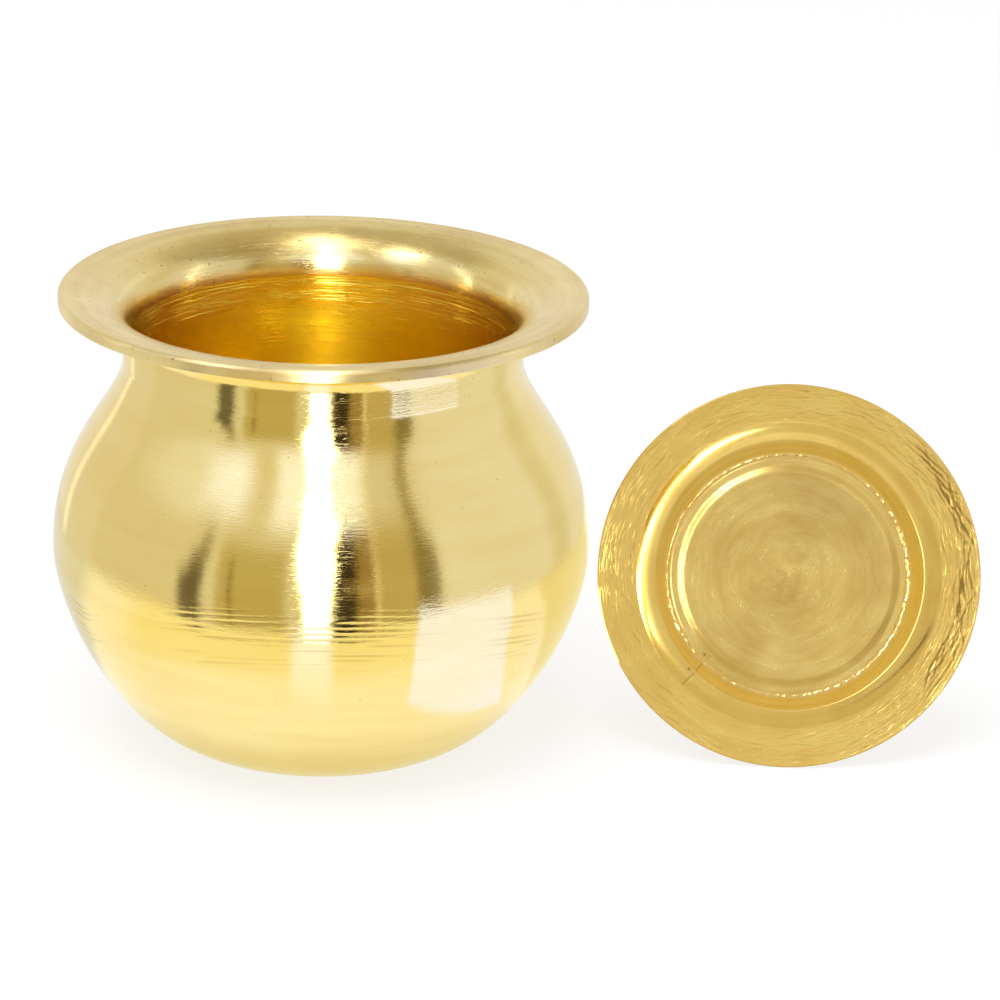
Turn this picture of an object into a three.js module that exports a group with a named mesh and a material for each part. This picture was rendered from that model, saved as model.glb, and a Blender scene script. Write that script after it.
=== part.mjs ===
import * as THREE from 'three';

// A lota, a small round brass water pot, with its dished lid standing beside it.
// Lengths are millimetres and +Z is up. The origin is the middle of the pot's flat
// foot, on the surface that the pot and the lid stand on.

// Pot, outside sizes
const potHeight = 115.5;
const lipRadius = 65;
const lipThickness = 2.8;
const lipBevel = 0.8;
const flareDrop = 11; // from the lip down to the straight collar of the neck
const collarHeight = 6;
const collarRadius = 49.4;
const bellyRadius = 67.1;
const bellyHeight = 50;
const footRadius = 30;

// Pot, walls
const collarWall = 2;
const bodyWall = 1.5;

// How full each curve of the pot is, as shares of the height or width it spans
const collarFullnessShare = 0.25;
const shoulderFullnessShare = 0.56;
const bellyFullnessShare = 0.315;
const footFullnessShare = 0.55;
const lipLevelShare = 0.4;
const throatFullnessShare = 0.36;

// Soldered laps of the pot: the lower piece's tongue stands inside the upper
// piece's skirt, and a flush ring of hard solder closes the joint outside
const solderHeight = 1.6;
const lapHeight = 2.4;
const lapGap = 0.3;
const tongueShare = 0.42; // of the wall

// Lid, measured from its axis and from the top of its brim's edge
const lidRadius = 47.9;
const lidSheet = 1.2;
const lidEdgeBevel = 0.3;
const brimWidth = 9.7;
const brimFall = 0.6;
const rollWidth = 4.5; // of the raised roll inside the brim
const rollRise = 1.7;
const rollFullnessShare = 0.5;
const rollSteepShare = 0.2;
const dishRadius = 30.9;
const dishDepth = 4.4;
const ledgeWidth = 4.2;

// Lid, the pan let into the dish and the solder bead round it
const lidJointGap = 0.3; // between the lid's pieces
const panRadius = 29.6;
const panFlange = 1.6; // the flat rim round the pan's raised middle
const panStepWidth = 2;
const panStepRise = 1;
const panStepEaseShare = 0.35;
const beadHeight = 1.5;
const beadShoulderShare = 0.5;

// Where the lid stands: beside the belly, leaning back, its lowest edge on z = 0
const lidLeanDegrees = 21;
const lidToBelly = 2;
const lidForward = 5.2;

// Facets
const turnSegments = 60;
const bodySteps = 13;
const flareSteps = 9;
const rollSteps = 5;
const panSteps = 6;

const throatRadius = collarRadius - collarWall;
const collarTop = potHeight - flareDrop;
const collarBottom = collarTop - collarHeight;

const potBrass = { color: 0xd9bc6a, roughness: 0.24, metalness: 1 };
const lidBrass = { color: 0xdcb552, roughness: 0.34, metalness: 1 };
const hardSolder = { color: 0xc9a765, roughness: 0.45, metalness: 1 };

function point(radius, height) {
  return new THREE.Vector2(radius, height);
}

// A closed outline of (radius, height) points, turned about the Z axis.
function turned(name, outline, look) {
  const first = outline[0];
  const onAxis = first.x === 0;
  const points = onAxis ? outline : [...outline, first.clone()];
  const geometry = new THREE.LatheGeometry(points, turnSegments);
  geometry.rotateX(Math.PI / 2);
  const mesh = new THREE.Mesh(geometry, new THREE.MeshStandardMaterial(look));
  mesh.name = name;
  return mesh;
}

// A line of points, moved sideways to its left by a distance that runs evenly
// from the first value to the second.
function offsetLine(points, firstDistance, lastDistance) {
  const last = points.length - 1;
  return points.map((here, index) => {
    const before = points[Math.max(index - 1, 0)];
    const after = points[Math.min(index + 1, last)];
    const arriving = here.clone().sub(before).normalize();
    const leaving = after.clone().sub(here).normalize();
    const along = arriving.clone().add(leaving).normalize();
    const bend = index === 0 || index === last ? 1 : along.dot(leaving);
    const distance = THREE.MathUtils.lerp(firstDistance, lastDistance, index / last) / bend;
    return point(here.x - along.y * distance, here.y + along.x * distance);
  });
}

// The radius of a rising line at a height, or of its nearest end past that end.
function radiusAt(points, height) {
  const upper = points.findIndex((p) => p.y >= height);
  if (upper === 0) {
    return points[0].x;
  }
  if (upper < 0) {
    return points[points.length - 1].x;
  }
  const low = points[upper - 1];
  const high = points[upper];
  return THREE.MathUtils.lerp(low.x, high.x, (height - low.y) / (high.y - low.y));
}

// The stretch of a rising line between two heights.
function cutBetween(points, low, high) {
  const kept = points.filter((p) => p.y > low && p.y < high);
  return [point(radiusAt(points, low), low), ...kept, point(radiusAt(points, high), high)];
}

// The outside of the pot from the edge of its foot up to the belly's widest ring.
function bowlLine() {
  const tuck = footFullnessShare * (bellyRadius - footRadius);
  const curve = new THREE.CubicBezierCurve(
    point(footRadius, 0),
    point(footRadius + tuck, 0),
    point(bellyRadius, bellyHeight - bellyFullnessShare * bellyHeight),
    point(bellyRadius, bellyHeight),
  );
  return curve.getPoints(bodySteps);
}

// The outside of the pot from the belly's widest ring up to the collar.
function shoulderLine() {
  const rise = collarBottom - bellyHeight;
  const curve = new THREE.CubicBezierCurve(
    point(bellyRadius, bellyHeight),
    point(bellyRadius, bellyHeight + shoulderFullnessShare * rise),
    point(collarRadius, collarBottom - collarFullnessShare * rise),
    point(collarRadius, collarBottom),
  );
  return curve.getPoints(bodySteps);
}

// One face of the flared mouth, from the collar up and out to the lip.
function flareLine(neckRadius, edgeRadius, edgeHeight) {
  const reach = edgeRadius - neckRadius;
  const rise = edgeHeight - collarTop;
  const curve = new THREE.CubicBezierCurve(
    point(neckRadius, collarTop),
    point(neckRadius, edgeHeight - throatFullnessShare * rise),
    point(neckRadius + lipLevelShare * reach, edgeHeight),
    point(edgeRadius, edgeHeight),
  );
  return curve.getPoints(flareSteps);
}

// The sizes of a soldered lap whose lower piece ends in a step at stepHeight.
function makeLap(stepHeight, innerRadius, wall) {
  const ringTop = stepHeight + solderHeight;
  const tongueTop = ringTop + lapHeight;
  const tongueRadius = innerRadius + tongueShare * wall;
  return {
    stepHeight,
    ringTop,
    tongueTop,
    pocketTop: tongueTop + lapGap,
    innerRadius,
    tongueRadius,
    skirtRadius: tongueRadius + lapGap,
  };
}

const bowlOutside = bowlLine();
const shoulderOutside = shoulderLine();
const bellyLap = makeLap(bellyHeight - solderHeight / 2, bellyRadius - bodyWall, bodyWall);
const neckLap = makeLap(collarBottom, throatRadius, collarWall);

// The step and tongue that end a lower piece, from its outside round to its inside.
function tonguePoints(lap) {
  return [
    point(lap.tongueRadius, lap.stepHeight),
    point(lap.tongueRadius, lap.tongueTop),
    point(lap.innerRadius, lap.tongueTop),
  ];
}

// The pocket and skirt that end an upper piece, from its inside round to its outside.
function skirtPoints(lap) {
  return [point(lap.skirtRadius, lap.pocketTop), point(lap.skirtRadius, lap.ringTop)];
}

// Raised from a disc: flat foot, round belly, and the tongue of the belly lap.
function makeLowerBowl() {
  const outside = cutBetween(bowlOutside, 0, bellyLap.stepHeight);
  const inside = offsetLine(bowlOutside, bodyWall, bodyWall).reverse();
  return turned('lower_bowl', [
    point(0, 0),
    ...outside,
    ...tonguePoints(bellyLap),
    ...inside,
    point(0, bodyWall),
  ], potBrass);
}

// The upper half of the body, from the belly's widest ring in to the collar.
function makeShoulder() {
  const outside = cutBetween(shoulderOutside, bellyLap.ringTop, collarBottom);
  const wholeInside = offsetLine(shoulderOutside, bodyWall, collarWall);
  const inside = cutBetween(wholeInside, bellyLap.pocketTop, collarBottom).reverse();
  return turned('shoulder', [
    ...outside,
    ...tonguePoints(neckLap),
    ...inside,
    ...skirtPoints(bellyLap),
  ], potBrass);
}

// The collar and the wide everted lip, turned from one thick ring.
function makeFlaredMouth() {
  const underside = flareLine(collarRadius, lipRadius, potHeight - lipThickness);
  const upside = flareLine(throatRadius, lipRadius - lipBevel, potHeight).reverse();
  return turned('flared_mouth', [
    point(collarRadius, neckLap.ringTop),
    ...underside,
    point(lipRadius, potHeight - lipBevel),
    ...upside,
    point(throatRadius, neckLap.pocketTop),
    ...skirtPoints(neckLap),
  ], potBrass);
}

// A flush ring of hard solder in the open side of a lap.
function makeSolderRing(name, lap, lowerRadius, upperRadius) {
  return turned(name, [
    point(lowerRadius, lap.stepHeight),
    point(upperRadius, lap.ringTop),
    point(lap.skirtRadius, lap.ringTop),
    point(lap.skirtRadius, lap.stepHeight),
  ], hardSolder);
}

function makePot() {
  const pot = new THREE.Group();
  const bellyLow = radiusAt(bowlOutside, bellyLap.stepHeight);
  const bellyHigh = radiusAt(shoulderOutside, bellyLap.ringTop);
  pot.add(
    makeLowerBowl(),
    makeSolderRing('belly_seam', bellyLap, bellyLow, bellyHigh),
    makeShoulder(),
    makeSolderRing('neck_seam', neckLap, collarRadius, collarRadius),
    makeFlaredMouth(),
  );
  return pot;
}

// The shown face of the lid's outer piece: the ledge under the pan, the steep wall
// of the dish, the raised roll and the brim, from the middle outwards.
function brimLine() {
  const rollFoot = point(lidRadius - brimWidth, -brimFall);
  const rollCrest = point(rollFoot.x - rollWidth, rollFoot.y + rollRise);
  const rollLevel = rollFullnessShare * rollWidth;
  const rollSteep = rollSteepShare * rollWidth;
  const curve = new THREE.CubicBezierCurve(
    rollCrest,
    point(rollCrest.x + rollLevel, rollCrest.y),
    point(rollFoot.x - rollSteep, rollFoot.y + rollFullnessShare * rollRise),
    rollFoot,
  );
  return [
    point(dishRadius - ledgeWidth, -dishDepth),
    point(dishRadius, -dishDepth),
    ...curve.getPoints(rollSteps),
    point(lidRadius - lidEdgeBevel, 0),
  ];
}

function makeLidBrim() {
  const face = brimLine();
  const back = offsetLine(face, -lidSheet, -lidSheet);
  const backEdge = point(lidRadius - lidEdgeBevel, -lidSheet);
  return turned('lid_brim', [
    ...back.slice(0, -1),
    backEdge,
    point(lidRadius, lidEdgeBevel - lidSheet),
    point(lidRadius, -lidEdgeBevel),
    ...face.reverse(),
  ], lidBrass);
}

// One face of the pan at the height of its flange, from the middle outwards.
function panLine(flangeHeight) {
  const stepFoot = point(panRadius - panFlange, flangeHeight);
  const stepTop = point(stepFoot.x - panStepWidth, flangeHeight + panStepRise);
  const ease = panStepEaseShare * panStepWidth;
  const curve = new THREE.CubicBezierCurve(
    stepTop,
    point(stepTop.x + ease, stepTop.y),
    point(stepFoot.x - ease, stepFoot.y),
    stepFoot,
  );
  return [point(0, stepTop.y), ...curve.getPoints(panSteps), point(panRadius, flangeHeight)];
}

// A pressed disc with a raised middle, let into the dish above the ledge.
function makeLidPan() {
  const foot = lidJointGap - dishDepth;
  const back = panLine(foot);
  const face = panLine(foot + lidSheet).reverse();
  return turned('lid_pan', [...back, ...face], lidBrass);
}

// The bead of solder left standing in the crease between the pan and the wall.
function makeLidSeam() {
  const foot = lidJointGap - dishDepth;
  const inner = panRadius + lidJointGap;
  const outer = dishRadius - lidJointGap;
  const side = foot + beadShoulderShare * beadHeight;
  return turned('lid_seam', [
    point(inner, foot),
    point(outer, foot),
    point(outer, side),
    point((inner + outer) / 2, foot + beadHeight),
    point(inner, side),
  ], hardSolder);
}

function makeLid() {
  const lean = THREE.MathUtils.degToRad(lidLeanDegrees);
  const lowestBack = lidSheet - lidEdgeBevel;
  const lid = new THREE.Group();
  lid.add(makeLidBrim(), makeLidSeam(), makeLidPan());
  lid.rotation.x = Math.PI / 2 - lean;
  lid.position.set(
    bellyRadius + lidToBelly + lidRadius,
    -lidForward,
    lidRadius * Math.cos(lean) + lowestBack * Math.sin(lean),
  );
  return lid;
}

const lota = new THREE.Group();
lota.add(makePot(), makeLid());

export default lota;
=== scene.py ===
import bpy
import math
import numpy as np
from mathutils import Matrix


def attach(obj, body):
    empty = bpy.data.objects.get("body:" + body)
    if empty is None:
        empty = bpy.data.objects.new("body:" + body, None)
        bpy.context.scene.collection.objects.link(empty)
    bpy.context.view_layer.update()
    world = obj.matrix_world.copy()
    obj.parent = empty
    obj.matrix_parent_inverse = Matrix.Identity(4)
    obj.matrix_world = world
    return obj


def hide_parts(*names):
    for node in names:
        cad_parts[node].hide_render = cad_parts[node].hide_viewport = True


# A brass lota and its lid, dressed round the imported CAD. Sizes in the dictionaries
# are millimetres, and everything made is metres.

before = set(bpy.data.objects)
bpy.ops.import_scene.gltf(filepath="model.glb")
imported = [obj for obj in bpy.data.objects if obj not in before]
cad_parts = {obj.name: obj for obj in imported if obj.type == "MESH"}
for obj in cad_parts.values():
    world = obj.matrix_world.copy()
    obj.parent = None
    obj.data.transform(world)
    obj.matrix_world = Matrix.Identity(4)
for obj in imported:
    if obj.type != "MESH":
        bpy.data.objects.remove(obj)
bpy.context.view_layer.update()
scene = bpy.context.scene
mm = 0.001
lidPlace = (117.0, -5.2, 45.04)   # the middle of the lid, mm
lidLean = 21.0                    # degrees back from upright


def linearFromHex(code):
    # sRGB hex to linear RGBA
    parts = [int(code[i:i + 2], 16) / 255 for i in (1, 3, 5)]
    return [p / 12.92 if p <= 0.04045 else ((p + 0.055) / 1.055) ** 2.4 for p in parts] + [1.0]


def addNode(tree, kind, settings=None, links=None):
    # settings fill inputs by name or number, or attributes; links are input: output socket
    node = tree.nodes.new(kind)
    for key, value in (settings or {}).items():
        if isinstance(key, str) and hasattr(node, key) and key not in node.inputs:
            setattr(node, key, value)
        else:
            node.inputs[key].default_value = value
    for key, source in (links or {}).items():
        tree.links.new(source, node.inputs[key])
    return node


def bezier(p0, p1, p2, p3, count=240):
    t = np.linspace(0, 1, count)[:, None]
    p0, p1, p2, p3 = map(np.array, (p0, p1, p2, p3))
    return (1 - t) ** 3 * p0 + 3 * (1 - t) ** 2 * t * p1 + 3 * (1 - t) * t * t * p2 + t ** 3 * p3


def offsetCurve(line, first, last):
    # moves a (radius, height) line to its left by a distance that runs from first to last
    tangent = np.gradient(line, axis=0)
    tangent /= np.linalg.norm(tangent, axis=1)[:, None]
    distance = np.linspace(first, last, len(line))[:, None]
    return line + distance * np.stack([-tangent[:, 1], tangent[:, 0]], 1)


def cutHeights(line, low, high):
    # the stretch of a rising line between two heights
    ends = [[np.interp(h, line[:, 1], line[:, 0]), h] for h in (low, high)]
    kept = line[(line[:, 1] > low + 1e-3) & (line[:, 1] < high - 1e-3)]
    return np.vstack([ends[0], kept, ends[1]])


def resample(line, spacing):
    # even steps along a line; spacing may be a function of (radius, height)
    line = np.array(line, float)
    gaps = np.linalg.norm(np.diff(line, axis=0), axis=1)
    if callable(spacing):
        middle = (line[1:] + line[:-1]) / 2
        local = np.array([spacing(r, z) for r, z in middle])
    else:
        local = np.full(len(gaps), float(spacing))
    count = np.concatenate([[0], np.cumsum(gaps / local)])
    steps = max(1, int(round(count[-1])))
    at = np.linspace(0, count[-1], steps + 1)
    return np.stack([np.interp(at, count, line[:, 0]), np.interp(at, count, line[:, 1])], 1)


def ringNoise(seed, cellsAround, u, v):
    # smooth noise from -1 to 1, periodic in the turn u (0 to 1); v counts cells along the profile
    grid = np.random.default_rng(seed).uniform(-1, 1, (128, cellsAround))
    x = (u % 1.0) * cellsAround
    xi, yi = np.floor(x).astype(int), np.floor(v).astype(int)
    fx, fy = x - xi, v - yi
    fx, fy = fx * fx * (3 - 2 * fx), fy * fy * (3 - 2 * fy)
    left, right = xi % cellsAround, (xi + 1) % cellsAround
    row, after = yi % 128, (yi + 1) % 128
    here = grid[row, left] * (1 - fx) + grid[row, right] * fx
    above = grid[after, left] * (1 - fx) + grid[after, right] * fx
    return here * (1 - fy) + above * fy


def smoothBand(value, low, high, soft):
    # 1 between low and high, easing to 0 over soft on each side
    rise = np.clip((value - low) / soft + 0.5, 0, 1)
    fall = np.clip((high - value) / soft + 0.5, 0, 1)
    both = rise * fall
    return both * both * (3 - 2 * both)


def turnedMesh(name, stretches, segments, materials, place=None):
    # stretches follow each other round the section with the metal on their left: each has
    # "line" in (radius, height), "step" and maybe "look" (material number) and "lift", a height
    # off the surface from (turn, arc, radius, height) arrays, which fades at the stretch's ends
    # unless "runsOn" says otherwise. A lift may come with a darkening from 0 to 1, drawn in the
    # tarnish colour: dark joints, pits and marks, and painted shade on the lid's pan.
    rings, lifts, looks, dirtAndShadeRows = [], [], [], []
    turn = np.arange(segments) / segments
    for stretch in stretches:
        line = resample(stretch["line"], stretch["step"])
        tangent = np.gradient(line, axis=0)
        tangent /= np.maximum(np.linalg.norm(tangent, axis=1), 1e-9)[:, None]
        normal = np.stack([tangent[:, 1], -tangent[:, 0]], 1)
        arc = np.concatenate([[0], np.cumsum(np.linalg.norm(np.diff(line, axis=0), axis=1))])
        lift = dirtAndShade = np.zeros((len(line), segments))
        if "lift" in stretch:
            uu, aa = np.meshgrid(turn, arc)
            rr, zz = line[:, 0][:, None] + 0 * uu, line[:, 1][:, None] + 0 * uu
            lift = stretch["lift"](uu, aa, rr, zz)
            lift, dirtAndShade = lift if isinstance(lift, tuple) else (lift, dirtAndShade)
            soft = max(1e-6, min(0.6, arc[-1] / 4))
            first, last = stretch.get("runsOn", (False, False))
            if not first:
                lift = lift * np.clip(arc / soft, 0, 1)[:, None]
            if not last:
                lift = lift * np.clip((arc[-1] - arc) / soft, 0, 1)[:, None]
        first = 1 if rings else 0
        for i in range(first, len(line)):
            rings.append((line[i], normal[i]))
            lifts.append(lift[i])
            dirtAndShadeRows.append(dirtAndShade[i])
            looks.append(stretch.get("look", 0))
    closed = np.allclose(rings[0][0], rings[-1][0], atol=1e-6)
    if closed:
        rings.pop(), lifts.pop(), dirtAndShadeRows.pop()
        looks = looks[1:] + [looks[0]] if len(looks) > len(rings) else looks
    angle = turn * 2 * math.pi
    coords, starts, dirtAndShadeValues = [], [], []
    for (point, normal), lift, dirtAndShade in zip(rings, lifts, dirtAndShadeRows):
        starts.append(len(coords))
        if point[0] < 1e-6:
            coords.append((0, 0, point[1] * mm))
            dirtAndShadeValues.append(0.0)
            continue
        dirtAndShadeValues.extend(dirtAndShade.tolist())
        radius = (point[0] + normal[0] * lift) * mm
        height = (point[1] + normal[1] * lift) * mm
        coords.extend(zip(radius * np.sin(angle), -radius * np.cos(angle), height))
    if place is not None:
        turnBy = np.array(place.to_3x3())
        coords = (np.array(coords) @ turnBy.T + np.array(place.translation)).tolist()
    faces, faceLooks = [], []
    count = len(rings)
    pairs = [(i, (i + 1) % count) for i in range(count if closed else count - 1)]
    for low, high in pairs:
        a, b = starts[low], starts[high]
        lowPole, highPole = rings[low][0][0] < 1e-6, rings[high][0][0] < 1e-6
        if lowPole and highPole:
            continue
        look = looks[high - 1] if closed else looks[high]
        for j in range(segments):
            k = (j + 1) % segments
            if lowPole:
                faces.append((a, b + k, b + j))
            elif highPole:
                faces.append((a + j, a + k, b))
            else:
                faces.append((a + j, a + k, b + k, b + j))
            faceLooks.append(look)
    mesh = bpy.data.meshes.new(name)
    mesh.from_pydata(coords, [], faces)
    mesh.attributes.new("dirtAndShade", "FLOAT", "POINT").data.foreach_set("value", dirtAndShadeValues)
    mesh.polygons.foreach_set("material_index", faceLooks)
    mesh.polygons.foreach_set("use_smooth", [True] * len(faces))
    mesh.set_sharp_from_angle(angle=math.radians(38))
    mesh.update()
    piece = bpy.data.objects.new(name, mesh)
    for material in materials:
        mesh.materials.append(material)
    scene.collection.objects.link(piece)
    return piece


# a long lens from the photograph's angle
camera = {
    "place": (44.3, -938.7, 404.9),
    "down": 20.10,   # degrees below level
    "roll": 1.37,
    "lens": 144.1,
}

cameraData = bpy.data.cameras.new("camera")
cameraData.lens = camera["lens"]
cameraData.sensor_width = 36
cameraData.clip_start, cameraData.clip_end = 0.05, 50
cameraObject = bpy.data.objects.new("camera", cameraData)
scene.collection.objects.link(cameraObject)
cameraObject.matrix_world = (
    Matrix.Translation([c * mm for c in camera["place"]])
    @ Matrix.Rotation(math.radians(90 - camera["down"]), 4, "X")
    @ Matrix.Rotation(math.radians(camera["roll"]), 4, "Z"))
scene.camera = cameraObject
scene.view_settings.view_transform = "Standard"


def ringPlace(tree, side, spot):
    # where a point is on turned work: its direction round the axis, how far along the profile
    # it is in millimetres (side says if the radius adds or takes away), and the way round
    middle = [c * mm for c in spot["place"]]
    tilt = math.radians(spot["tilt"])
    where = addNode(tree, "ShaderNodeTexCoord").outputs["Object"]
    place = addNode(tree, "ShaderNodeMapping", {"vector_type": "TEXTURE", "Location": middle,
                    "Rotation": (tilt, 0, 0)}, {"Vector": where}).outputs["Vector"]
    flat = addNode(tree, "ShaderNodeVectorMath", {"operation": "MULTIPLY", 1: (1, 1, 0)},
                   {0: place}).outputs["Vector"]
    outward = addNode(tree, "ShaderNodeVectorMath", {"operation": "NORMALIZE"},
                      {0: flat}).outputs["Vector"]
    radius = addNode(tree, "ShaderNodeVectorMath", {"operation": "LENGTH"},
                     {0: flat}).outputs["Value"]
    height = addNode(tree, "ShaderNodeSeparateXYZ", {}, {0: place}).outputs["Z"]
    along = addNode(tree, "ShaderNodeMath", {"operation": "MULTIPLY_ADD", 1: side},
                    {0: radius, 2: height}).outputs["Value"]
    alongMm = addNode(tree, "ShaderNodeMath", {"operation": "MULTIPLY", 1: 1000.0},
                      {0: along}).outputs["Value"]
    fromMiddle = addNode(tree, "ShaderNodeVectorMath", {"operation": "SUBTRACT", 1: middle},
                         {0: where}).outputs["Vector"]
    wayRound = addNode(tree, "ShaderNodeVectorMath",
                       {"operation": "CROSS_PRODUCT", 0: (0, -math.sin(tilt), math.cos(tilt))},
                       {1: fromMiddle}).outputs["Vector"]
    tangent = addNode(tree, "ShaderNodeVectorMath", {"operation": "NORMALIZE"},
                      {0: wayRound}).outputs["Vector"]
    return place, outward, alongMm, tangent


def ringTexture(tree, outward, alongMm, spacing, stretch, detail=2.0, rough=0.55, spiral=0.0):
    # noise drawn out round the axis: spacing mm between marks, stretch sets their length, and
    # spiral (radians a mm) slants them
    if spiral:
        twist = addNode(tree, "ShaderNodeMath", {"operation": "MULTIPLY", 1: spiral},
                        {0: alongMm}).outputs["Value"]
        outward = addNode(tree, "ShaderNodeVectorRotate", {"rotation_type": "Z_AXIS"},
                          {"Vector": outward, "Angle": twist}).outputs["Vector"]
    turnedPart = addNode(tree, "ShaderNodeVectorMath", {"operation": "SCALE", "Scale": stretch},
                         {0: outward}).outputs["Vector"]
    steps = addNode(tree, "ShaderNodeMath", {"operation": "MULTIPLY", 1: 1 / spacing},
                    {0: alongMm}).outputs["Value"]
    lengthPart = addNode(tree, "ShaderNodeCombineXYZ", {}, {"Z": steps}).outputs["Vector"]
    where = addNode(tree, "ShaderNodeVectorMath", {"operation": "ADD"},
                    {0: turnedPart, 1: lengthPart}).outputs["Vector"]
    return addNode(tree, "ShaderNodeTexNoise", {"Scale": 1.0, "Detail": detail, "Roughness": rough},
                   {"Vector": where}).outputs["Fac"]


def thinLines(tree, noise, width):
    # thin grooves where a noise crosses its middle: 0 in the groove, 1 beside it
    away = addNode(tree, "ShaderNodeMath", {"operation": "SUBTRACT", 1: 0.5},
                   {0: noise}).outputs["Value"]
    away = addNode(tree, "ShaderNodeMath", {"operation": "ABSOLUTE"}, {0: away}).outputs["Value"]
    return addNode(tree, "ShaderNodeMapRange", {"From Min": 0.0, "From Max": width},
                   {"Value": away}).outputs["Result"]


def makeBrass(name, look, side, spot):
    # look holds the colours, roughness and the sizes of the surface marks
    material = bpy.data.materials.new(name)
    material.use_nodes = True
    tree = material.node_tree
    tree.nodes.clear()
    place, outward, alongMm, tangent = ringPlace(tree, side, spot)

    rings = ringTexture(tree, outward, alongMm, look["ringSpacing"], look["ringStretch"], 3.0, 0.6,
                        look.get("spiral", 0.0))
    broad = ringTexture(tree, outward, alongMm, look["bandSpacing"], look["bandStretch"], 2.0, 0.5)
    cloud = addNode(tree, "ShaderNodeTexNoise", {"Scale": 1000 / look["cloudSize"], "Detail": 3.0},
                    {"Vector": place}).outputs["Fac"]
    fine = addNode(tree, "ShaderNodeTexNoise", {"Scale": 1000 / look["speckSize"], "Detail": 1.0},
                   {"Vector": place}).outputs["Fac"]
    specks = addNode(tree, "ShaderNodeMapRange",
                     {"From Min": look["speckCut"], "From Max": look["speckCut"] + 0.05},
                     {"Value": fine}).outputs["Result"]

    tone = addNode(tree, "ShaderNodeMath", {"operation": "ADD"},
                   {0: cloud, 1: broad}).outputs["Value"]
    toneFac = addNode(tree, "ShaderNodeMapRange", {"From Min": 0.7, "From Max": 1.3},
                      {"Value": tone}).outputs["Result"]
    colour = addNode(tree, "ShaderNodeMixRGB",
                     {"Color1": linearFromHex(look["colour"]), "Color2": linearFromHex(look["deep"])},
                     {"Fac": toneFac}).outputs["Color"]
    speckFac = addNode(tree, "ShaderNodeMath", {"operation": "MULTIPLY", 1: look["speckStrength"]},
                       {0: specks}).outputs["Value"]
    # the mesh's darkening: dark joints, pits and marks, and painted shade on the lid's pan; it and the
    # specks mix in the tarnish colour
    dirtAndShade = addNode(tree, "ShaderNodeAttribute", {"attribute_name": "dirtAndShade"}).outputs["Fac"]
    darkFac = addNode(tree, "ShaderNodeMath", {"operation": "MAXIMUM"},
                      {0: speckFac, 1: dirtAndShade}).outputs["Value"]
    colour = addNode(tree, "ShaderNodeMixRGB", {"Color2": linearFromHex(look["tarnishAndShade"])},
                     {"Fac": darkFac, "Color1": colour}).outputs["Color"]

    roughness = addNode(tree, "ShaderNodeMapRange",
                        {"From Min": 0.3, "From Max": 0.7,
                         "To Min": look["roughLow"], "To Max": look["roughHigh"]},
                        {"Value": broad}).outputs["Result"]

    ringBump = addNode(tree, "ShaderNodeBump", {"Strength": 1.0, "Distance": look["ringDepth"] * mm},
                       {"Height": rings}).outputs["Normal"]
    wave = addNode(tree, "ShaderNodeTexNoise", {"Scale": 1000 / look["waveSize"], "Detail": 2.0},
                   {"Vector": place}).outputs["Fac"]
    waveBump = addNode(tree, "ShaderNodeBump", {"Strength": 1.0, "Distance": look["waveDepth"] * mm},
                       {"Height": wave, "Normal": ringBump}).outputs["Normal"]
    # grooves the tool left, in patches, and rings that waver as they go round
    grooves = ringTexture(tree, outward, alongMm, look["lineSpacing"], look["lineStretch"], 2.0, 0.6,
                          look.get("spiral", 0.0))
    lines = thinLines(tree, grooves, look["lineWidth"])
    patches = addNode(tree, "ShaderNodeMapRange", {"From Min": 0.42, "From Max": 0.62},
                      {"Value": wave}).outputs["Result"]
    lines = addNode(tree, "ShaderNodeMath", {"operation": "MAXIMUM"},
                    {0: lines, 1: patches}).outputs["Value"]
    lineBump = addNode(tree, "ShaderNodeBump", {"Strength": 1.0, "Distance": look["lineDepth"] * mm},
                       {"Height": lines, "Normal": waveBump}).outputs["Normal"]
    fray = ringTexture(tree, outward, alongMm, look["fraySpacing"], look["frayStretch"], 2.0, 0.6,
                       look.get("fraySpiral", 0.0))
    frayBump = addNode(tree, "ShaderNodeBump", {"Strength": 1.0, "Distance": look["frayDepth"] * mm},
                       {"Height": fray, "Normal": lineBump}).outputs["Normal"]
    shader = addNode(tree, "ShaderNodeBsdfPrincipled",
                     {"Metallic": 1.0, "Anisotropic": look["brushed"], "Anisotropic Rotation": 0.25},
                     {"Base Color": colour, "Roughness": roughness, "Normal": frayBump,
                      "Tangent": tangent})
    addNode(tree, "ShaderNodeOutputMaterial", {}, {"Surface": shader.outputs["BSDF"]})
    return material


# Brass, turned and then polished: mirror-like, its reflections drawn out along the height by
# the fine rings that the lathe left, and frayed at their edges. The finest rings are drawn
# about twice as coarse as they are, so that they show at this size.
polishedLook = {
    "colour": "#F5DF98", "deep": "#F0D68A", "tarnishAndShade": "#7A5620",
    "ringSpacing": 0.45, "ringStretch": 2.5, "ringDepth": 0.0015,
    "bandSpacing": 6.0, "bandStretch": 1.5, "cloudSize": 30, "waveSize": 9, "waveDepth": 0.005,
    "lineSpacing": 1.1, "lineStretch": 6, "lineWidth": 0.03, "lineDepth": 0.004,
    "fraySpacing": 0.4, "frayStretch": 18, "frayDepth": 0.026,
    "speckSize": 0.9, "speckCut": 0.76, "speckStrength": 0.4,
    "roughLow": 0.06, "roughHigh": 0.10, "brushed": 0.8,
}
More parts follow.
